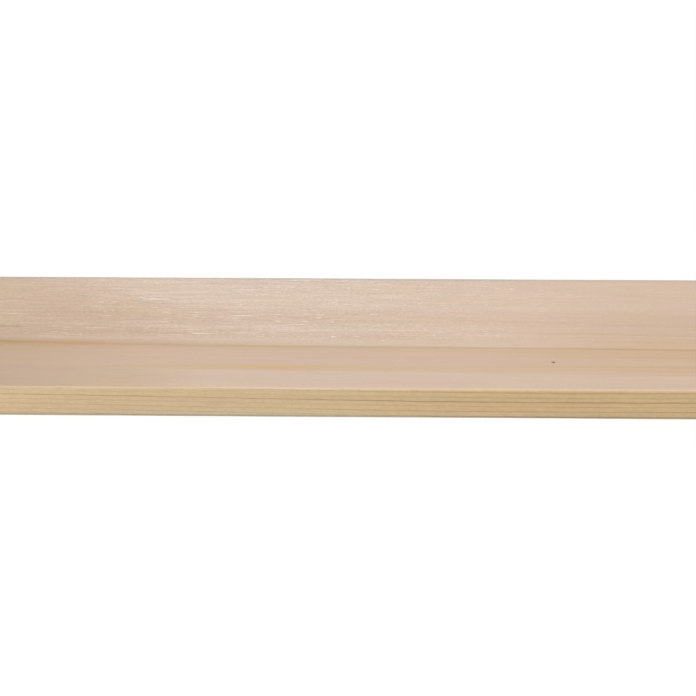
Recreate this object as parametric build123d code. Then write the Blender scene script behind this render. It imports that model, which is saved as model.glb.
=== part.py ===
"""Planed softwood plank: one length of dressed 1 x 4 inch stock, lying flat.

Frame, in millimetres: X runs along the plank, Y across its face towards the back and Z up.
The origin is at the middle of the underside.
"""

import os

from build123d import *

# Dressed section of nominal 1 x 4 inch boards, cut to the 6 foot length
PLANK_LENGTH = 1829.0
PLANK_WIDTH = 89.0
PLANK_THICKNESS = 19.0

# The planer leaves the four long arrises slightly rounded
ARRIS_RADIUS = 1.0

# A rounding can't take more than this share of the thinner side, so that some flat stays
ARRIS_SHARE_MAX = 0.45


def planed_section():
    """The cross section as it leaves the planer, standing on the underside."""
    thinner_side = min(PLANK_WIDTH, PLANK_THICKNESS)
    radius = min(ARRIS_RADIUS, ARRIS_SHARE_MAX * thinner_side)
    middle_height = PLANK_THICKNESS / 2
    section_plane = Plane.YZ.offset(-PLANK_LENGTH / 2) * Pos(0, middle_height)
    return section_plane * RectangleRounded(PLANK_WIDTH, PLANK_THICKNESS, radius)


def sawn_plank():
    """The section run out to full length, so both ends are square saw cuts."""
    plank = extrude(planed_section(), amount=PLANK_LENGTH)
    plank.label = "plank"
    return plank


os.makedirs("parts", exist_ok=True)
export_step(sawn_plank(), "parts/plank.step")
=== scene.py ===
"""Looks of a planed softwood plank: fine relief, solid wood grain, floor, light and camera.

The scene is in metres. The grain is reckoned in millimetres in the plank's own frame: x along it,
y across its face and z up from the underside, with 0 at the middle of the underside.
"""
import math

import bpy
import numpy as np
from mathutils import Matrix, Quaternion, Vector


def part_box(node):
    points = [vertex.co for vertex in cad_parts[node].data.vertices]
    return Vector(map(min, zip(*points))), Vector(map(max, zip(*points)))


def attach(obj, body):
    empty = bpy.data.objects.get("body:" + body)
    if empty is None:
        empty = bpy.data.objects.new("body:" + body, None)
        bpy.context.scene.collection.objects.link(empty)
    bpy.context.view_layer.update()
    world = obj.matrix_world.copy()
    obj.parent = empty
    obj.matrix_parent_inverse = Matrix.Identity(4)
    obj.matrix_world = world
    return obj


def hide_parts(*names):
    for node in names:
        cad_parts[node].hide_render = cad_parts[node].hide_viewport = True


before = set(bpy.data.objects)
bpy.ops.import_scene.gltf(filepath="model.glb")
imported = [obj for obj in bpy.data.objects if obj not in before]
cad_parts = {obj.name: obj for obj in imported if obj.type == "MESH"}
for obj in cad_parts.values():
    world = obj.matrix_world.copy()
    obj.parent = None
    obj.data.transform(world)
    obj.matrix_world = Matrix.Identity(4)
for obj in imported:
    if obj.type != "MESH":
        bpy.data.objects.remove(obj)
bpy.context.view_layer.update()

MM = 0.001

# The plank's size in mm, from the frame
LOW, HIGH = (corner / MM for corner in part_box("plank"))
LENGTH, WIDTH, THICKNESS = HIGH - LOW
ARRIS_RADIUS = 1.0


# Numbers that vary over the wood

class Wire:
    """A number that varies over the wood: a node's output that is reckoned with as a number."""

    def __init__(self, socket):
        self.socket = socket

    def __add__(self, other):
        return arithmetic("ADD", self, other)

    def __radd__(self, other):
        return arithmetic("ADD", other, self)

    def __sub__(self, other):
        return arithmetic("SUBTRACT", self, other)

    def __rsub__(self, other):
        return arithmetic("SUBTRACT", other, self)

    def __mul__(self, other):
        return arithmetic("MULTIPLY", self, other)

    def __rmul__(self, other):
        return arithmetic("MULTIPLY", other, self)

    def __truediv__(self, other):
        return arithmetic("DIVIDE", self, other)


def feed(slot, value):
    """Gives a node's input a wire, or else a plain value."""
    if isinstance(value, Wire):
        slot.id_data.links.new(value.socket, slot)
    else:
        slot.default_value = value


def tree_of(values):
    """The node tree of the first wire among the values."""
    return next(value.socket.id_data for value in values if isinstance(value, Wire))


def arithmetic(operation, *values):
    node = tree_of(values).nodes.new("ShaderNodeMath")
    node.operation = operation
    for slot, value in zip(node.inputs, values):
        feed(slot, value)
    return Wire(node.outputs[0])


def sine(value):
    return arithmetic("SINE", value) if isinstance(value, Wire) else np.sin(value)


def root(value):
    return arithmetic("SQRT", value) if isinstance(value, Wire) else np.sqrt(value)


def fraction(value):
    return arithmetic("FRACT", value) if isinstance(value, Wire) else value - np.floor(value)


def exponential(value):
    return arithmetic("EXPONENT", value) if isinstance(value, Wire) else np.exp(value)


def larger(first, second):
    return arithmetic("MAXIMUM", first, second)


def rise(value, low, high):
    """0 up to low, 1 from high, and a smooth step between them."""
    if not isinstance(value, Wire):
        share = np.clip((value - low) / (high - low), 0, 1)
        return share * share * (3 - 2 * share)
    node = value.socket.id_data.nodes.new("ShaderNodeMapRange")
    node.interpolation_type = "SMOOTHSTEP"
    feed(node.inputs["Value"], value)
    node.inputs["From Min"].default_value = low
    node.inputs["From Max"].default_value = high
    return Wire(node.outputs["Result"])


def fall(value, low, high):
    """1 up to low, 0 from high, and a smooth step between them."""
    return 1 - rise(value, low, high)


def table(value, places, results):
    """Straight lines between the results at the given places, none of which is below 0."""
    if not isinstance(value, Wire):
        return np.interp(value, places, results)
    start, span, top = places[0], places[-1] - places[0], max(results)
    node = value.socket.id_data.nodes.new("ShaderNodeFloatCurve")
    curve = node.mapping.curves[0]
    ends = [((place - start) / span, result / top) for place, result in zip(places, results)]
    curve.points[0].location, curve.points[1].location = ends[0], ends[-1]
    for at in ends[1:-1]:
        curve.points.new(*at)
    for point in curve.points:
        point.handle_type = "VECTOR"
    node.mapping.update()
    feed(node.inputs["Value"], (value - start) / span)
    return Wire(node.outputs[0]) * top


def off(value, middle, reach):
    """How far the value is from the middle, where the reach counts as 1."""
    return (value - middle) * (1 / reach)


def bell(*distances):
    """1 where all distances are 0, and fading to nothing at about 2 on any of them."""
    return exponential(-1.0 * sum(distance * distance for distance in distances))


# Growth rings

# The pith lies above the plank and behind it, and runs slightly across its length
PITH_Y, PITH_Y_RUN = 59.15, 0.0269
PITH_Z, PITH_Z_RUN = 231.4, -0.0179

# The rings bow outwards where the plank is seen in the photograph, most along its front
BOW, BOW_FADE = 2.25, 0.0237
BOW_MIDDLE, BOW_MIDDLE_SHIFT = 71.4, 6.42
BOW_REACH = 173.0

# They also wobble, in two waves whose lengths are given in mm for each radian
WOBBLE_MIDDLE, WOBBLE_ENDS = 0.06, 0.70
LONG_WAVE_X, LONG_WAVE_Y = 97, 23
SHORT_WAVE_X, SHORT_WAVE_Y, SHORT_WAVE_Z = 41, 9, 7
SHORT_WAVE_SHARE = 0.5

# The rings that the photograph shows: outer radius in mm, and how dark the latewood is
SEEN_RINGS = [
    (215.6, 0.4), (217.7, 0.4), (219.8, 0.5), (221.5, 0.3), (223.4, 0.9), (225.5, 0.5), (228.0, 0.6),
    (230.4, 0.3), (233.2, 0.3), (236.2, 0.8), (239.0, 0.5), (241.4, 1.2), (244.1, 0.4), (246.9, 0.8),
    (249.9, 0.5),
]

# The years inside and outside of those, which vary at random
RING_SEED = 5
INNER_YEARS, OUTER_YEARS, MEAN_YEAR = 8, 6, 2.7
YEAR_SPREAD, DARKNESS_SPREAD = (0.85, 1.15), (0.35, 0.75)

# Where in the year the latewood starts, is full and stops
LATE_START, LATE_FULL, LATE_STOP = 0.66, 0.94, 0.97


def growth_rings():
    """Outer radius and darkness of all rings, from the innermost out."""
    random = np.random.default_rng(RING_SEED)
    widths = random.uniform(*YEAR_SPREAD, INNER_YEARS + OUTER_YEARS) * MEAN_YEAR
    darkness = random.uniform(*DARKNESS_SPREAD, INNER_YEARS + OUTER_YEARS)
    inner = SEEN_RINGS[0][0] - np.cumsum(widths[:INNER_YEARS])[::-1]
    outer = SEEN_RINGS[-1][0] + np.cumsum(widths[INNER_YEARS:])
    hidden = list(zip([*inner, *outer], darkness))
    return sorted(hidden + SEEN_RINGS)


RINGS = growth_rings()
RING_RADII = [radius for radius, darkness in RINGS]
RING_DARKNESS = [darkness for radius, darkness in RINGS]


def ring_radius(x, y, z):
    """Distance from the pith in mm, less the bow, with a slight wobble that grows towards the ends."""
    across = y - (x * PITH_Y_RUN + PITH_Y)
    below = z - (x * PITH_Z_RUN + PITH_Z)
    from_front = y + WIDTH / 2
    bow_middle = BOW_MIDDLE - from_front * BOW_MIDDLE_SHIFT
    bow = (BOW - from_front * BOW_FADE) * bell(off(x, bow_middle, BOW_REACH))
    long_wave = sine(x * (1 / LONG_WAVE_X) + y * (1 / LONG_WAVE_Y))
    short_wave = sine(x * (1 / SHORT_WAVE_X) - y * (1 / SHORT_WAVE_Y) + z * (1 / SHORT_WAVE_Z))
    far_share = x * x * (1 / (LENGTH / 2) ** 2)
    wobble = long_wave + SHORT_WAVE_SHARE * short_wave
    wobble = wobble * (far_share * (WOBBLE_ENDS - WOBBLE_MIDDLE) + WOBBLE_MIDDLE)
    return root(across * across + below * below) - bow + wobble


def latewood(radius):
    """The dark band that ends each ring: it comes on slowly and stops sharply."""
    year = fraction(table(radius, RING_RADII, list(range(len(RINGS)))))
    band = rise(year, LATE_START, LATE_FULL) * fall(year, LATE_STOP, 1.0)
    return band * table(radius, RING_RADII, RING_DARKNESS)


# The plank's mesh

# Steps round the section, along the plank and round an arris
COLUMN_STEP, ROW_STEP, ARC_STEPS = 0.55, 9.0, 5

# How far the latewood stands proud and the arrises are worn, in mm, and how often the wear varies
RING_RELIEF = 0.04
ARRIS_WEAR, ARRIS_WEAR_STEP, WEAR_SEED = 0.10, 23.0, 11

# The saw's hub lies above the plank, in front of its middle, and its marks come and go
SAW_MARK_DEPTH, SAW_MARK_PITCH, SAW_RADIUS = 0.12, 2.3, 127.0
SAW_HUB_Y, SAW_RIM_Z = -18.0, 15.0
SWELL_PITCHES, SWELL_START = 1.7, 0.6

# The flat map for baking: its margins, the sides' share of its width and each end's of its height
MAP_MARGIN, MAP_SIDES, MAP_END = 0.004, 0.90, 0.5


def steps(low, high, step):
    """Even places from low to high, about a step apart."""
    return np.linspace(low, high, round((high - low) / step) + 1)


def section_outline(ys, zs):
    """Points and outward normals round the section, from the front of the underside."""
    half, flat_low, flat_high = WIDTH / 2, ARRIS_RADIUS, THICKNESS - ARRIS_RADIUS
    turns = np.linspace(0, math.pi / 2, ARC_STEPS + 1)[1:-1]
    points, normals = [], []

    def straight(places, fixed, normal, along_y):
        for place in places:
            points.append((place, fixed) if along_y else (fixed, place))
            normals.append(normal)

    def rounding(centre_y, centre_z, start):
        for turn in turns:
            normal = (math.cos(start + turn), math.sin(start + turn))
            points.append((centre_y + ARRIS_RADIUS * normal[0], centre_z + ARRIS_RADIUS * normal[1]))
            normals.append(normal)

    straight(ys, 0.0, (0, -1), True)
    rounding(ys[-1], flat_low, -math.pi / 2)
    straight(zs, half, (1, 0), False)
    rounding(ys[-1], flat_high, 0)
    straight(ys[::-1], THICKNESS, (0, 1), True)
    rounding(ys[0], flat_high, math.pi / 2)
    straight(zs[::-1], -half, (-1, 0), False)
    rounding(ys[0], flat_low, math.pi)
    return np.array(points), np.array(normals)


def uneven(places, step, random):
    """Smooth random numbers from -1 to 1 along a line."""
    knots = np.arange(places.min() - step, places.max() + 2 * step, step)
    values = random.uniform(-1, 1, len(knots))
    left = np.clip(((places - knots[0]) / step).astype(int), 0, len(knots) - 2)
    share = rise((places - knots[left]) / step, 0.0, 1.0)
    return values[left] * (1 - share) + values[left + 1] * share


def planed_sides(xs, outline, normals):
    """The outline at each place along the plank, with raised latewood and worn arrises."""
    random = np.random.default_rng(WEAR_SEED)
    rows, columns = len(xs), len(outline)
    x = np.repeat(xs, columns)
    y, z = (np.tile(outline[:, axis], rows) for axis in (0, 1))
    lift = RING_RELIEF * (np.minimum(latewood(ring_radius(x, y, z)), 1) - 1).reshape(rows, columns)
    corner_share = np.abs(normals[:, 0] * normals[:, 1]) * 2
    for side in (-1, 1):
        for face in (-1, 1):
            there = corner_share * (np.sign(normals[:, 0]) == side) * (np.sign(normals[:, 1]) == face)
            wear = 0.5 + 0.5 * uneven(xs, ARRIS_WEAR_STEP, random)
            lift -= ARRIS_WEAR * wear[:, None] * there[None]
    moved = outline[None] + lift[:, :, None] * normals[None]
    return np.concatenate([x[:, None], moved.reshape(-1, 2)], axis=1)


def saw_marks(y, z):
    """Depth of the marks that a circular saw leaves on an end, in mm."""
    from_hub = np.hypot(y - SAW_HUB_Y, z - SAW_RADIUS - SAW_RIM_Z)
    swell = 0.5 + 0.5 * np.sin(from_hub / (SWELL_PITCHES * SAW_MARK_PITCH) + SWELL_START)
    return SAW_MARK_DEPTH * (0.5 + 0.5 * np.sin(2 * math.pi * from_hub / SAW_MARK_PITCH)) * swell


def sawn_end(x, ys, zs):
    """The inner points of the end at x, sunk by the saw's marks."""
    grid_y, grid_z = np.meshgrid(ys, zs, indexing="ij")
    sunk = x - math.copysign(1, x) * saw_marks(grid_y, grid_z)
    return np.stack([sunk, grid_y, grid_z], -1).reshape(-1, 3)


def cap_faces(first, rim, count_y, count_z):
    """Faces of an end whose inner points start at first and whose rim points start at rim."""
    def inner(i, j):
        return first + i * count_z + j

    arc = ARC_STEPS - 1
    bottom = [rim + i for i in range(count_y)]
    back = [rim + count_y + arc + j for j in range(count_z)]
    top = [rim + count_y + arc + count_z + arc + i for i in range(count_y)][::-1]
    front = [rim + 2 * count_y + count_z + 3 * arc + j for j in range(count_z)][::-1]
    last_y, last_z = count_y - 1, count_z - 1
    faces = []
    for i in range(last_y):
        for j in range(last_z):
            faces.append((inner(i, j), inner(i + 1, j), inner(i + 1, j + 1), inner(i, j + 1)))
        faces.append((bottom[i], bottom[i + 1], inner(i + 1, 0), inner(i, 0)))
        faces.append((inner(i, last_z), inner(i + 1, last_z), top[i + 1], top[i]))
    for j in range(last_z):
        faces.append((inner(last_y, j), back[j], back[j + 1], inner(last_y, j + 1)))
        faces.append((front[j], inner(0, j), inner(0, j + 1), front[j + 1]))
    turns = [
        (inner(last_y, 0), bottom[-1], back[0]),
        (inner(last_y, last_z), back[-1], top[-1]),
        (inner(0, last_z), top[0], front[-1]),
        (inner(0, 0), front[0], bottom[0]),
    ]
    for corner, start, stop in turns:
        middle = [start + step for step in range(1, ARC_STEPS)]
        path = [start] + middle + [stop]
        faces += [(corner, path[k], path[k + 1]) for k in range(len(path) - 1)]
    return faces


def plank_mesh():
    """Points and faces of the sides and then the ends, the sides' number of faces, and their columns."""
    ys = steps(-WIDTH / 2 + ARRIS_RADIUS, WIDTH / 2 - ARRIS_RADIUS, COLUMN_STEP)
    zs = steps(ARRIS_RADIUS, THICKNESS - ARRIS_RADIUS, COLUMN_STEP)
    xs = steps(-LENGTH / 2, LENGTH / 2, ROW_STEP)
    outline, normals = section_outline(ys, zs)
    columns, rows = len(outline), len(xs)
    sides = planed_sides(xs, outline, normals)
    points = np.concatenate([sides] + [sawn_end(x, ys, zs) for x in (xs[0], xs[-1])])

    faces = []
    for row in range(rows - 1):
        for column in range(columns):
            after = (column + 1) % columns
            low, high = row * columns, (row + 1) * columns
            faces.append((low + column, low + after, high + after, high + column))
    side_faces = len(faces)
    for number, row in enumerate((0, rows - 1)):
        first = len(sides) + number * len(ys) * len(zs)
        end_faces = cap_faces(first, row * columns, len(ys), len(zs))
        faces += end_faces if number else [face[::-1] for face in end_faces]
    return points, faces, side_faces, columns


def plank_object():
    """The plank as it shows: the planed sides and the sawn ends in one mesh."""
    points, faces, side_faces, columns = plank_mesh()
    mesh = bpy.data.meshes.new("planed_wood")
    mesh.from_pydata((points * MM).tolist(), [], faces)
    mesh.polygons.foreach_set("use_smooth", [True] * len(faces))
    sharpen_rims(mesh, side_faces)
    lay_out_for_bake(mesh, points, side_faces, columns)
    wood = bpy.data.objects.new("planed_wood", mesh)
    bpy.context.scene.collection.objects.link(wood)
    return wood


def sharpen_rims(mesh, side_faces):
    """The sawn ends meet the planed sides at a sharp edge."""
    sides, ends = set(), set()
    for polygon in mesh.polygons:
        (sides if polygon.index < side_faces else ends).update(polygon.edge_keys)
    rim = sides & ends
    sharp = mesh.attributes.new("sharp_edge", "BOOLEAN", "EDGE")
    sharp.data.foreach_set("value", [tuple(sorted(edge.vertices)) in rim for edge in mesh.edges])


def lay_out_for_bake(mesh, points, side_faces, columns):
    """A flat map: the sides as one sheet, slit along the underside's front, with the ends beside it."""
    layer = mesh.uv_layers.new(name="OFBake")
    outline = points[:columns, 1:]
    closed = np.vstack([outline, outline[:1]])
    run = np.concatenate([[0], np.cumsum(np.hypot(*np.diff(closed, axis=0).T))])
    run = MAP_MARGIN + run / run[-1] * (1 - 2 * MAP_MARGIN)
    end_width = 1 - MAP_SIDES - 2 * MAP_MARGIN
    uvs = np.zeros((len(mesh.loops), 2))
    for polygon in mesh.polygons:
        for loop in polygon.loop_indices:
            vertex = mesh.loops[loop].vertex_index
            x, y, z = points[vertex]
            if polygon.index < side_faces:
                column = vertex % columns
                wraps = column == 0 and polygon.index % columns == columns - 1
                u = MAP_MARGIN + (x + LENGTH / 2) / LENGTH * (MAP_SIDES - 2 * MAP_MARGIN)
                uvs[loop] = u, run[-1] if wraps else run[column]
            else:
                u = MAP_SIDES + MAP_MARGIN + z / THICKNESS * end_width
                v = (y + WIDTH / 2) / WIDTH * (MAP_END - 2 * MAP_MARGIN) + MAP_MARGIN
                uvs[loop] = u, v + (MAP_END if x > 0 else 0.0)
    layer.data.foreach_set("uv", uvs.ravel())


# Nodes for colours and textures

# The Mix node's inputs for a share and two colours, and its output for a colour
MIX_INPUTS, MIX_OUTPUT = (0, 6, 7), 2

# How a texture's shift counts along, across and through the plank
SHIFT_SHARES = (1.0, 0.7, 1.3)

# The share of a dash's reach that is fully bright
DASH_CORE = 0.6


def srgb(red, green, blue):
    """A colour as a picture gives it, from 0 to 255, for a colour socket."""
    def linear(value):
        value /= 255
        return value / 12.92 if value <= 0.04045 else ((value + 0.055) / 1.055) ** 2.4

    return (linear(red), linear(green), linear(blue), 1.0)


def components(vector):
    """The three parts of a vector or a colour."""
    node = vector.socket.id_data.nodes.new("ShaderNodeSeparateXYZ")
    feed(node.inputs[0], vector)
    return [Wire(output) for output in node.outputs]


def blend(kind, share, first, second):
    """Mixes two colours by share, where second may also multiply first."""
    values = (share, first, second)
    node = tree_of(values).nodes.new("ShaderNodeMix")
    node.data_type, node.blend_type = "RGBA", kind
    for number, value in zip(MIX_INPUTS, values):
        feed(node.inputs[number], value)
    return Wire(node.outputs[MIX_OUTPUT])


def tinted(colour, layers):
    """The colour times each layer's tint, as far as its share says."""
    for share, tint in layers:
        colour = blend("MULTIPLY", share, colour, (*tint, 1.0))
    return colour


def brightened(colour, gain):
    """The colour times one plus the gain."""
    node = colour.socket.id_data.nodes.new("ShaderNodeVectorMath")
    node.operation = "SCALE"
    feed(node.inputs[0], colour)
    feed(node.inputs["Scale"], gain + 1.0)
    return Wire(node.outputs[0])


def texture(kind, place, size, shift):
    """A texture node whose cells measure size in mm: along, across and through the plank."""
    tree = place.socket.id_data
    scaled = tree.nodes.new("ShaderNodeVectorMath")
    scaled.operation = "MULTIPLY_ADD"
    feed(scaled.inputs[0], place)
    scaled.inputs[1].default_value = [1 / length for length in size]
    scaled.inputs[2].default_value = [share * shift for share in SHIFT_SHARES]
    node = tree.nodes.new(kind)
    node.inputs["Scale"].default_value = 1.0
    tree.links.new(scaled.outputs[0], node.inputs["Vector"])
    return node


def noise(place, size, detail, shift):
    """Soft noise about 0."""
    node = texture("ShaderNodeTexNoise", place, size, shift)
    node.inputs["Detail"].default_value = detail
    return Wire(node.outputs[0]) - 0.5


def dashes(place, size, reach, shift):
    """Separate dashes of random brightness, which take up a cell as far as reach says."""
    node = texture("ShaderNodeTexVoronoi", place, size, shift)
    bright = components(Wire(node.outputs["Color"]))[0]
    return fall(Wire(node.outputs["Distance"]), reach * DASH_CORE, reach) * bright * bright


# The wood's material
# A pair of places in mm says where something starts and is full, or where it starts to end and has
# ended. They count from the middle of the face, along the plank or across the grain, or else from
# the underside up. Left, right, front and back are as the photograph shows them.

# Textures: the size of a cell in mm, the detail of a noise or the reach of a dash, and the shift
SIGHT_NOISE = (260, 12, 12), 2.0, 37.0
PALE_NOISE = (420, 13, 13), 3.0, 9.0
DARK_NOISE = (380, 24, 24), 2.0, 45.0
ROSY_NOISE = (60, 6, 6), 2.0, 13.0
YELLOW_NOISE = (70, 4, 4), 2.0, 17.0
LINE_SWAY = (60, 5, 5), 2.0, 3.0
EDGE_LINE_SWAY = (15, 4, 4), 1.0, 51.0
LINE_DEPTH = (28, 2.5, 2.5), 2.0, 33.0
LONG_FIBRES = (40, 1.5, 1.5), 2.0, 1.0
SHORT_FIBRES = (7, 0.8, 0.8), 1.0, 29.0
FINE_FIBRES = (60, 0.6, 0.6), 2.0, 7.0
GRIT = (1.8, 1.3, 1.3), 1.0, 41.0
NAP_NOISE = (260, 30, 30), 1.0, 21.0
NAP_GROUPS = (26, 7, 7), 1.0, 25.0
LONG_NAP = (24, 1.4, 1.4), 0.36, 5.0
SHORT_NAP = (7, 1.3, 1.3), 0.34, 31.0
NAP_SPECKS = (3.6, 2.4, 2.4), 0.20, 15.0

# Colours of the planed wood under plain light
TAN_COLOUR = (0.584, 0.418, 0.297, 1.0)
PALE_COLOUR = (0.684, 0.536, 0.428, 1.0)
EDGE_COLOUR = (0.645, 0.480, 0.285, 1.0)
# The nap's colour is partly the paler raised fibres and partly painted glints on them
NAP_GLINT_COLOUR = (0.860, 0.760, 0.680, 1.0)
END_COLOUR = srgb(203, 170, 129)

# How far the grain on the face runs across it for each mm along
GRAIN_RUN = 0.011

# Ends and edges are told apart by the squares of the normal's parts, and the face by its height
END_NORMAL, EDGE_NORMAL = (0.3, 0.7), (0.5, 0.95)
TOP_FROM, TOP_FULL = THICKNESS - 2 * ARRIS_RADIUS, THICKNESS - ARRIS_RADIUS

# The stretch that the photograph shows fades out raggedly, at these distances from the middle
SEEN_FULL, SEEN_NONE = 180.0, 480.0
RAGGED_FROM, RAGGED_FULL, RAGGEDNESS = 150.0, 200.0, 3.0


class Wood:
    """The place on the wood in mm, and which side it is on: each share is 1 there and 0 elsewhere."""

    def __init__(self, tree):
        coordinates = tree.nodes.new("ShaderNodeTexCoord")
        in_mm = tree.nodes.new("ShaderNodeVectorMath")
        in_mm.operation = "SCALE"
        in_mm.inputs["Scale"].default_value = 1 / MM
        tree.links.new(coordinates.outputs["Object"], in_mm.inputs[0])
        self.place = Wire(in_mm.outputs[0])
        self.x, self.y, self.z = components(self.place)
        self.across = self.x * GRAIN_RUN + self.y
        normal_x, normal_y = components(Wire(coordinates.outputs["Normal"]))[:2]
        self.end = rise(normal_x * normal_x, *END_NORMAL)
        self.edge = rise(normal_y * normal_y, *EDGE_NORMAL)
        self.top = rise(self.z, TOP_FROM, TOP_FULL) * (1 - self.end)
        squared = self.x * self.x
        ragged = noise(self.place, *SIGHT_NOISE) * rise(squared, RAGGED_FROM ** 2, RAGGED_FULL ** 2)
        self.seen = fall(squared * (ragged * RAGGEDNESS + 1.0), SEEN_FULL ** 2, SEEN_NONE ** 2)
        self.seen_top = self.seen * self.top

    def where_seen(self, shown, elsewhere):
        """The first value on the part of the face that the photograph shows, or else the second."""
        return elsewhere + (shown - elsewhere) * self.seen_top


# Dry pale bands: two broad ones, a ridge between them that leans at the left, and a strip in front
FRONT_BAND, FRONT_BAND_END, FRONT_BAND_LOSS = (-12.8, -10), (60, 150), 0.8
BACK_BAND, BACK_BAND_END, BACK_BAND_LOSS = (11, 22), (0, 60), 0.5
BACK_BAND_RETURN, BACK_BAND_GAIN = (80, 130), 0.2
BAND_START, BAND_SLANT, BAND_SHARE = (-124, -29), 1.5, 0.5
RIDGE_MIDDLE, RIDGE_REACH, RIDGE_END, RIDGE_SHARE = 2.4, 3.5, (20, 110), 0.3
RIDGE_LEAN, RIDGE_LEAN_END = 3.3, (-170, -60)
STRIP_BACK, STRIP_START, STRIP_SHARE = (-32.5, -30.5), (-105, -60), 0.36
PALE_RANGE = (-0.10, 0.24)


def paleness(wood):
    """How dry and pale the surface is: in bands along the middle of the face, in blots elsewhere."""
    x, v = wood.x, wood.across
    front = rise(v, *FRONT_BAND) * (1 - rise(x, *FRONT_BAND_END) * FRONT_BAND_LOSS) * BAND_SHARE
    back = 1 - rise(x, *BACK_BAND_END) * BACK_BAND_LOSS + rise(x, *BACK_BAND_RETURN) * BACK_BAND_GAIN
    back = rise(v, *BACK_BAND) * back * BAND_SHARE
    lean = fall(x, *RIDGE_LEAN_END) * RIDGE_LEAN
    ridge = bell(off(v - RIDGE_MIDDLE, lean, RIDGE_REACH)) * fall(x, *RIDGE_END) * RIDGE_SHARE
    strip = fall(v, *STRIP_BACK) * rise(x, *STRIP_START) * STRIP_SHARE
    bands = (front + back) * rise(x + v * BAND_SLANT, *BAND_START) + ridge + strip
    return wood.where_seen(bands, rise(noise(wood.place, *PALE_NOISE), *PALE_RANGE))


def ground_colour(wood):
    """The colour of each side, under all marks and lines."""
    colour = blend("MIX", paleness(wood), TAN_COLOUR, PALE_COLOUR)
    colour = blend("MIX", wood.edge, colour, EDGE_COLOUR)
    return blend("MIX", wood.end, colour, END_COLOUR)


# A darker area at the front left of the face, and the like elsewhere
DARK_END, DARK_BACK, DARK_TINT = (-200, -60), (-16, 30), (0.835, 0.800, 0.740)
DARK_RANGE, DARK_SHARE = (-0.02, 0.20), 0.7

# Yellow wood at the front right of the face, with a plain streak in it
YELLOW_START, YELLOW_FRONT, YELLOW_BACK = (60, 170), (-29.8, -28.2), (-16, 5)
PLAIN_STREAK, PLAIN_STREAK_REACH = -22.5, 2.5
YELLOW_TINT = (0.985, 0.96, 0.86)

# Faint clouds of colour all over
CLOUD_RANGE = (0.0, 0.2)
ROSY_CLOUD_TINT, YELLOW_CLOUD_TINT = (1.0, 0.975, 0.99), (1.0, 1.0, 0.95)

# Marks on the face: middle and reach along it, the same across the grain, share, and tint
MARKS = [
    (-176.0, 24.0, -11.3, 1.8, 1.0, (0.90, 0.86, 0.64)),
    (-139.0, 20.0, -11.7, 1.9, 1.0, (1.01, 0.90, 0.71)),
    (-160.0, 60.0, -12.6, 2.4, 0.5, (0.94, 0.88, 0.80)),
    (-174.0, 13.0, 0.92, 0.7, 1.0, (0.73, 0.73, 0.72)),
    (20.0, 200.0, -14.3, 1.7, 0.9, (0.96, 0.96, 0.92)),
    (-30.0, 85.0, -28.9, 1.7, 0.95, (0.98, 0.98, 0.75)),
    (-33.0, 16.0, -28.6, 1.2, 0.8, (1.01, 0.94, 0.90)),
    (-114.0, 24.0, -39.5, 6.0, 0.8, (1.00, 1.00, 0.90)),
    (-60.0, 75.0, -10.7, 2.0, 0.9, (0.945, 0.945, 0.90)),
    (-110.0, 60.0, -6.8, 2.3, 1.0, (1.07, 1.12, 1.20)),
    (-95.0, 45.0, -7.7, 0.6, 0.8, (1.05, 1.05, 1.05)),
    (-90.0, 50.0, 3.2, 0.6, 0.8, (1.05, 1.05, 1.06)),
    (-165.0, 50.0, -2.2, 4.0, 1.0, (1.03, 1.055, 1.08)),
    (-176.0, 20.0, 37.0, 10.0, 0.8, (1.01, 1.03, 1.06)),
    (55.0, 60.0, -31.5, 2.0, 0.8, (1.00, 1.03, 1.08)),
    (-176.0, 36.0, 14.0, 24.0, 0.8, (1.03, 1.05, 1.08)),
    (0.0, 70.0, -24.2, 2.0, 0.8, (1.00, 1.01, 1.07)),
    (60.0, 300.0, -38.0, 5.5, 0.9, (0.955, 0.975, 1.00)),
]


def area_tints(wood):
    """Darker and yellow areas, the marks on the face and the clouds of colour."""
    place, x, v = wood.place, wood.x, wood.across
    dark_elsewhere = rise(noise(place, *DARK_NOISE), *DARK_RANGE) * DARK_SHARE * (1 - wood.end)
    dark = wood.where_seen(fall(x, *DARK_END) * fall(v, *DARK_BACK), dark_elsewhere)
    streak = bell(off(v, PLAIN_STREAK, PLAIN_STREAK_REACH))
    yellow = fall(v, *YELLOW_BACK) * rise(v, *YELLOW_FRONT) * (1 - streak)
    layers = [(dark, DARK_TINT), (yellow * rise(x, *YELLOW_START) * wood.seen_top, YELLOW_TINT)]
    for x_middle, x_reach, v_middle, v_reach, share, tint in MARKS:
        mark = bell(off(x, x_middle, x_reach), off(v, v_middle, v_reach))
        layers.append((mark * wood.top * share, tint))
    layers.append((rise(noise(place, *ROSY_NOISE), *CLOUD_RANGE), ROSY_CLOUD_TINT))
    layers.append((rise(noise(place, *YELLOW_NOISE), *CLOUD_RANGE), YELLOW_CLOUD_TINT))
    return layers


# Ring lines: how far they sway in mm, and how deep they are on the whole and by turns
SWAY, EDGE_SWAY = 0.3, 0.5
DEPTH, DEPTH_SPREAD, EDGE_DEPTH_SPREAD = 0.96, 0.9, 0.9
LATE_TINT = (0.74, 0.70, 0.54)

# How strongly they show on each side, with a slow wave in mm for each radian
SHOWN_ON_FACE, SHOWN_ON_EDGE, SHOWN_ON_END = 0.42, 0.85, 0.8
WAVE_ALONG, WAVE_ACROSS, WAVE_START, WAVE_HEIGHT = 50, 120, 1.2, 0.1

# On the face they are calm, less so at the right and more so at the back and the front left
CALM, CALM_END, CALM_LOSS = 0.26, (60, 140), 0.19
BACK_CALM_START, BACK_CALM = (8, 26), 0.2
LEFT_CALM_END, LEFT_CALM_BACK, LEFT_CALM = (-130, -60), (-17, -13), 0.10

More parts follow.
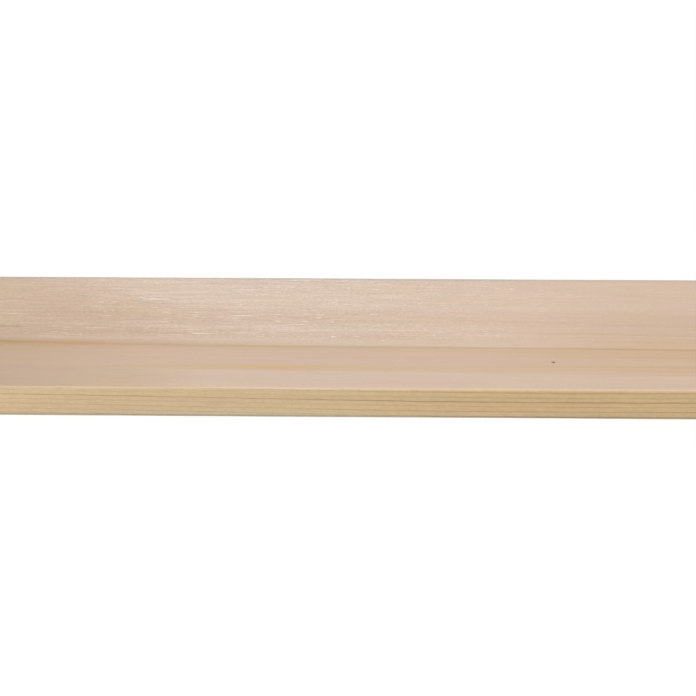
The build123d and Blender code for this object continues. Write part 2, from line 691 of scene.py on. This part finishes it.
# On the edge they are faint at the left, most of all in one gap near its top
EDGE_START, EDGE_GAIN, EDGE_LOSS = (-70, 60), 0.5, 0.15
GAP_X, GAP_X_REACH, GAP_Z, GAP_Z_REACH, GAP_LOSS = -84, 32, 15.9, 1.3, 0.5

# The strong line on the face, fainter near one place and at the right
FACE_LINE, FACE_LINE_REACH, FACE_LINE_SHARE = 223.25, 0.2, 0.8
FAINT_PLACE, FAINT_REACH, FAINT_LOSS = -150, 45, 0.55
FACE_LINE_END, FACE_LINE_LOSS = (110, 170), 0.25
FACE_LINE_TINT = (0.84, 0.82, 0.64)

# The strong line on the edge, which gains towards the right
EDGE_LINE, EDGE_LINE_REACH, EDGE_LINE_SHARE = 241.3, 0.24, 0.45
EDGE_LINE_RISE, EDGE_LINE_GAIN = (-60, 60), 0.45
EDGE_LINE_TINT = (0.76, 0.70, 0.62)

# The pin knot on the face
KNOT_X, KNOT_X_REACH, KNOT_Y, KNOT_Y_REACH = 101.95, 0.72, -23.5, 0.62
KNOT_TINT = (0.05, 0.03, 0.02)


def ring_lines(wood):
    """The distance from the pith that the lines follow, and how dark the latewood is there."""
    place = wood.place
    radius = ring_radius(wood.x, wood.y, wood.z) + noise(place, *LINE_SWAY) * SWAY
    radius = radius + noise(place, *EDGE_LINE_SWAY) * wood.edge * EDGE_SWAY
    depth = noise(place, *LINE_DEPTH) * (DEPTH_SPREAD + wood.edge * EDGE_DEPTH_SPREAD) + DEPTH
    return radius, latewood(radius) * depth


def latewood_shown(wood):
    """How strongly the latewood shows on each side of the plank."""
    x, y, v = wood.x, wood.y, wood.across
    wave = sine(x * (1 / WAVE_ALONG) + y * (1 / WAVE_ACROSS) - WAVE_START) * WAVE_HEIGHT
    calm = CALM - rise(x, *CALM_END) * CALM_LOSS + rise(y, *BACK_CALM_START) * BACK_CALM
    calm = calm + fall(x, *LEFT_CALM_END) * fall(v, *LEFT_CALM_BACK) * LEFT_CALM
    gap = bell(off(x, GAP_X, GAP_X_REACH), off(wood.z, GAP_Z, GAP_Z_REACH))
    change = rise(x, *EDGE_START) * EDGE_GAIN - EDGE_LOSS - gap * GAP_LOSS
    on_face = SHOWN_ON_FACE + wave - calm * wood.seen
    on_edge = SHOWN_ON_EDGE + wave + change * wood.seen
    return on_face + (on_edge - on_face) * wood.edge + wood.end * SHOWN_ON_END


def line_tints(wood, radius, late):
    """The ring lines, the two strongest among them, and the knot."""
    x = wood.x
    on_face = bell(off(radius, FACE_LINE, FACE_LINE_REACH)) * (1 - wood.edge)
    face_share = FACE_LINE_SHARE - bell(off(x, FAINT_PLACE, FAINT_REACH)) * FAINT_LOSS
    face_share = face_share - rise(x, *FACE_LINE_END) * FACE_LINE_LOSS
    on_edge = bell(off(radius, EDGE_LINE, EDGE_LINE_REACH)) * wood.edge
    edge_share = EDGE_LINE_SHARE + rise(x, *EDGE_LINE_RISE) * EDGE_LINE_GAIN
    knot = bell(off(x, KNOT_X, KNOT_X_REACH), off(wood.y, KNOT_Y, KNOT_Y_REACH)) * wood.top
    return [
        (late * latewood_shown(wood), LATE_TINT),
        (on_face * face_share, FACE_LINE_TINT),
        (on_edge * edge_share, EDGE_LINE_TINT),
        (knot, KNOT_TINT),
    ]


# The nap stands up most on the middle and back of the face, left of the knot
NAP_FRONT, NAP_END, NAP_LOSS = (-12, -3), (-10, 130), 0.85
NAP_LEFT_SHARE, NAP_RISE, NAP_GAIN = 0.8, (-150, -105), 0.2
NAP_RANGE, GROUP_RANGE = (0.0, 0.16), (-0.2, 0.2)

# Its dashes are long at the left and short further on, where there are more specks
NAP_SHORTENS = (-80, 20)
LONG_NAP_SHARE, LONG_NAP_LOSS = 0.95, 0.55
SHORT_NAP_SHARE, SHORT_NAP_GAIN = 0.65, 0.35
SPECK_SHARE, SPECK_GAIN = 0.6, 0.4
FAR_LEFT_END, FAR_LEFT_LOSS = (-170, -125), 0.5

# How much fibres and grit shade the wood: everywhere, more on the nap, and more on the edges
FINE_SHADE = 0.12
SHORT_SHADE, SHORT_SHADE_NAP, SHORT_SHADE_EDGE = 0.05, 0.10, 0.12
LONG_SHADE, LONG_SHADE_NAP = 0.05, 0.33
GRIT_SHADE, GRIT_SHADE_NAP, GRIT_SHADE_EDGE = 0.05, 0.25, 0.12

# How much darker the wood is between the dashes of the nap
NAP_SHADE = 0.02


def nap_strength(wood):
    """How much the fibres stand up."""
    middle = rise(wood.across, *NAP_FRONT) * (1 - rise(wood.x, *NAP_END) * NAP_LOSS)
    middle = middle * (NAP_LEFT_SHARE + rise(wood.x, *NAP_RISE) * NAP_GAIN)
    area = wood.where_seen(middle, rise(noise(wood.place, *NAP_NOISE), *NAP_RANGE))
    return area * (1 - wood.end) * (1 - wood.edge * wood.seen)


def raised_fibres_and_glints(wood, nap):
    """Bright dashes and specks where the nap stands up: paler raised fibres, with painted glints on
    them.
    """
    place = wood.place
    short = rise(wood.x, *NAP_SHORTENS) * wood.seen
    fibres_and_glints = dashes(place, *LONG_NAP) * (LONG_NAP_SHARE - short * LONG_NAP_LOSS)
    fibres_and_glints = fibres_and_glints + dashes(place, *SHORT_NAP) * (SHORT_NAP_SHARE + short * SHORT_NAP_GAIN)
    specks = dashes(place, *NAP_SPECKS) * (SPECK_SHARE + short * SPECK_GAIN)
    groups = rise(noise(place, *NAP_GROUPS), *GROUP_RANGE)
    fibres_and_glints = (fibres_and_glints * groups + specks) * nap
    return fibres_and_glints * (1 - fall(wood.x, *FAR_LEFT_END) * wood.seen * FAR_LEFT_LOSS)


def flat_fibres(wood, nap, long_fibres):
    """Light and dark fibres and grit that lie in the surface."""
    place, edge = wood.place, wood.edge
    short_shade = nap * SHORT_SHADE_NAP + SHORT_SHADE + edge * SHORT_SHADE_EDGE
    grit_shade = nap * GRIT_SHADE_NAP + GRIT_SHADE + edge * GRIT_SHADE_EDGE
    flat = noise(place, *FINE_FIBRES) * FINE_SHADE + noise(place, *SHORT_FIBRES) * short_shade
    flat = flat + long_fibres * (nap * LONG_SHADE_NAP + LONG_SHADE)
    return flat + noise(place, *GRIT) * grit_shade


# At the right the face is paler and the edge browner
RIGHT_START, RIGHT_EDGE_TINT, RIGHT_TOP_TINT = (-40, 110), (0.965, 0.92, 0.84), (1.045, 1.03, 1.02)

# At the left the face's front is paler, where it is flat. The upper part of each edge, up to the arris,
# is lightened as a painted highlight, most at the left
LEFT_END, FRONT_PART, FRONT_LEFT_TINT = (-160, -60), (-26, -18), (1.01, 1.03, 1.07)
RIM_HIGHLIGHT, RIM_HIGHLIGHT_SHARE, RIM_HIGHLIGHT_GAIN = (15.5, 18.5), 0.45, 1.15
RIM_HIGHLIGHT_TINT = (1.05, 1.08, 1.17)

# The share of the top, as the wood gives it, from which it counts as flat
FLAT_SHARES = (0.9, 1.0)

# The foot of the edges is cool, with a dark line of painted shade along it where the edges turn under
# towards the floor
NEAR_EDGE, FOOT, FOOT_TINT = (43.0, 44.0), (2.0, 3.4), (0.965, 1.03, 1.14)
FOOT_SHADE, FOOT_SHADE_REACH, FOOT_SHADE_TINT = 1.33, 0.45, (0.69, 0.72, 0.74)

# The back rim of the face is darkened as painted shade, where it rounds away from the light, with one
# wider patch of it
BACK_RIM, BACK_RIM_SHADE_TINT = (41.0, 42.5), (0.90, 0.95, 0.98)
SHADE_X, SHADE_X_REACH, SHADE_RIM, SHADE_TINT = 56, 32, (39.5, 42), (0.93, 0.96, 0.99)

# Paler patches of the edge: high up at its middle, all over its far left, and a cool one low down
UPPER_X, UPPER_X_REACH, UPPER_Z, UPPER_Z_REACH = 0, 105, 15.5, 1.9
LOWER_X, LOWER_X_REACH, LOWER_Z, LOWER_Z_REACH = -70, 60, 3.4, 2.0
LEFT_PATCH = (-165, -115)
UPPER_PATCH_TINT, LOWER_PATCH_TINT = (1.09, 1.13, 1.13), (0.97, 1.02, 1.08)
LEFT_PATCH_TINT = (1.05, 1.05, 1.06)


def side_tints(wood):
    """Slow changes of tone over the face and the edges, and the lines along their rims, with a painted
    highlight on the edges' upper parts and painted shade along their foot and the face's back rim.
    """
    x, y, z, edge, top = wood.x, wood.y, wood.z, wood.edge, wood.top
    right = rise(x, *RIGHT_START) * wood.seen
    left = fall(x, *LEFT_END) * wood.seen
    # A painted highlight along the upper part of each edge, up to the arris
    rim_highlight = rise(z, *RIM_HIGHLIGHT) * edge * (RIM_HIGHLIGHT_SHARE + left * RIM_HIGHLIGHT_GAIN)
    front_left = left * rise(top, *FLAT_SHARES) * fall(wood.across, *FRONT_PART)
    near_edge = rise(y * y, NEAR_EDGE[0] ** 2, NEAR_EDGE[1] ** 2)
    shade = bell(off(x, SHADE_X, SHADE_X_REACH)) * rise(y, *SHADE_RIM) * top
    edge_seen = edge * wood.seen
    upper_patch = bell(off(x, UPPER_X, UPPER_X_REACH), off(z, UPPER_Z, UPPER_Z_REACH))
    lower_patch = bell(off(x, LOWER_X, LOWER_X_REACH), off(z, LOWER_Z, LOWER_Z_REACH))
    return [
        (right * edge, RIGHT_EDGE_TINT),
        (right * top, RIGHT_TOP_TINT),
        (rim_highlight, RIM_HIGHLIGHT_TINT),
        (front_left, FRONT_LEFT_TINT),
        (fall(z, *FOOT) * near_edge, FOOT_TINT),
        # Painted shade along the foot of the edges
        (bell(off(z, FOOT_SHADE, FOOT_SHADE_REACH)) * near_edge, FOOT_SHADE_TINT),
        # Painted shade along the back rim of the face, and one wider patch of it
        (rise(y, *BACK_RIM) * top, BACK_RIM_SHADE_TINT),
        (shade, SHADE_TINT),
        (upper_patch * edge_seen, UPPER_PATCH_TINT),
        (fall(x, *LEFT_PATCH) * edge_seen, LEFT_PATCH_TINT),
        (lower_patch * edge_seen, LOWER_PATCH_TINT),
    ]


# Roughness of the planed wood, and what fibres, nap, latewood and the sawn ends change in it
ROUGHNESS, FIBRE_ROUGHNESS, NAP_ROUGHNESS = 0.52, 0.2, 0.06
LATE_SMOOTHNESS, END_ROUGHNESS = 0.06, 0.3

# How high the latewood, the fibres and the nap stand, in mm
LATE_HEIGHT, FIBRE_HEIGHT, NAP_HEIGHT = 0.015, 0.15, 0.03


def softwood():
    """The material of the planed sides and the sawn ends."""
    material = bpy.data.materials.new("planed_softwood")
    material.use_nodes = True
    tree = material.node_tree
    shader = tree.nodes["Principled BSDF"]
    wood = Wood(tree)
    radius, late = ring_lines(wood)
    nap = nap_strength(wood)
    fibres_and_glints = raised_fibres_and_glints(wood, nap)
    long_fibres = noise(wood.place, *LONG_FIBRES)
    flat = flat_fibres(wood, nap, long_fibres)

    colour = ground_colour(wood)
    colour = tinted(colour, area_tints(wood))
    colour = tinted(colour, line_tints(wood, radius, late))
    colour = brightened(colour, flat - nap * NAP_SHADE)
    # Raised fibres and painted glints lighten the wood towards the nap's colour
    colour = blend("MIX", fibres_and_glints, colour, NAP_GLINT_COLOUR)
    colour = tinted(colour, side_tints(wood))
    feed(shader.inputs["Base Color"], colour)

    roughness = ROUGHNESS + long_fibres * FIBRE_ROUGHNESS + nap * NAP_ROUGHNESS
    roughness = roughness - late * LATE_SMOOTHNESS + wood.end * END_ROUGHNESS
    feed(shader.inputs["Roughness"], roughness)

    bump = tree.nodes.new("ShaderNodeBump")
    bump.inputs["Distance"].default_value = MM
    feed(bump.inputs["Height"], late * LATE_HEIGHT + flat * FIBRE_HEIGHT + fibres_and_glints * NAP_HEIGHT)
    tree.links.new(bump.outputs["Normal"], shader.inputs["Normal"])
    return material


# Floor, light and camera

WHITE = (1, 1, 1, 1)

# The floor, in metres: grey for the light that it throws on the plank, and nearly white to look at
FLOOR_SIZE = 60.0
FLOOR_COLOUR, FLOOR_COLOUR_SHOWN = (0.40, 0.40, 0.40, 1), (0.30, 0.30, 0.30, 1)
FLOOR_GLOW_SHOWN = 0.74

# How strongly the world lights the plank, where its strength to look at is 1
WORLD_LIGHT = 0.47

# Lamps: name, place and size in metres, and watts
LAMPS = [
    ("key", (-0.5, -1.9, 1.75), (1.2, 1.2), 48.0),
    ("sheen", (-0.15, 1.6, 1.35), (0.8, 0.6), 6.0),
]

# The camera of the photograph: its lens in mm, its angles in degrees and its distance in mm
LENS, SENSOR = 135.0, 36.0
ELEVATION, AZIMUTH, ROLL = 38.85, 1.85, -0.82
DISTANCE = 1312.4
AIM = Vector((0.0, -1.4, 9.5))
CLIP_START, CLIP_END = 0.05, 200.0


def seen_directly(tree):
    """1 for what the camera sees, also in a mirror or through glass, and 0 for light on the plank."""
    path = tree.nodes.new("ShaderNodeLightPath")
    seen = larger(Wire(path.outputs["Is Camera Ray"]), Wire(path.outputs["Is Glossy Ray"]))
    return larger(seen, Wire(path.outputs["Is Transmission Ray"]))


def make_floor():
    """A wide plain floor under the plank."""
    half = FLOOR_SIZE / 2
    mesh = bpy.data.meshes.new("floor")
    corners = [(-half, -half, 0), (half, -half, 0), (half, half, 0), (-half, half, 0)]
    mesh.from_pydata(corners, [], [(0, 1, 2, 3)])
    floor = bpy.data.objects.new("floor", mesh)
    bpy.context.scene.collection.objects.link(floor)
    material = bpy.data.materials.new("pale_floor")
    material.use_nodes = True
    tree = material.node_tree
    shader = tree.nodes["Principled BSDF"]
    shader.inputs["Specular IOR Level"].default_value = 0.0
    shader.inputs["Roughness"].default_value = 1.0
    shader.inputs["Emission Color"].default_value = WHITE
    seen = seen_directly(tree)
    feed(shader.inputs["Base Color"], blend("MIX", seen, FLOOR_COLOUR, FLOOR_COLOUR_SHOWN))
    feed(shader.inputs["Emission Strength"], seen * FLOOR_GLOW_SHOWN)
    mesh.materials.append(material)


def light_world():
    """Even light from all sides, before a white background."""
    world = bpy.data.worlds.new("studio")
    world.use_nodes = True
    tree = world.node_tree
    background = tree.nodes["Background"]
    background.inputs["Color"].default_value = WHITE
    feed(background.inputs["Strength"], seen_directly(tree) * (1 - WORLD_LIGHT) + WORLD_LIGHT)
    bpy.context.scene.world = world


def area_light(name, place, size, watts):
    """A lamp that is aimed at the middle of the plank."""
    lamp = bpy.data.lights.new(name, "AREA")
    lamp.shape, lamp.size, lamp.size_y = "RECTANGLE", *size
    lamp.energy = watts
    holder = bpy.data.objects.new(name, lamp)
    holder.location = place
    holder.rotation_euler = (-Vector(place)).to_track_quat("-Z", "Y").to_euler()
    bpy.context.scene.collection.objects.link(holder)


def make_camera():
    """The photograph's view, down on the face and the front edge."""
    elevation, azimuth = math.radians(ELEVATION), math.radians(AZIMUTH)
    level = math.cos(elevation)
    back = Vector((math.sin(azimuth) * level, -math.cos(azimuth) * level, math.sin(elevation)))
    camera = bpy.data.cameras.new("camera")
    camera.lens, camera.sensor_width = LENS, SENSOR
    camera.clip_start, camera.clip_end = CLIP_START, CLIP_END
    holder = bpy.data.objects.new("camera", camera)
    holder.rotation_mode = "QUATERNION"
    holder.location = (AIM + back * DISTANCE) * MM
    roll = Quaternion((0, 0, 1), math.radians(ROLL))
    holder.rotation_quaternion = (-back).to_track_quat("-Z", "Y") @ roll
    bpy.context.scene.collection.objects.link(holder)
    bpy.context.scene.camera = holder


plank = plank_object()
plank.data.materials.append(softwood())
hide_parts("plank")
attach(plank, "root")

make_floor()
light_world()
for lamp in LAMPS:
    area_light(*lamp)
make_camera()
bpy.context.scene.view_settings.view_transform = "Standard"
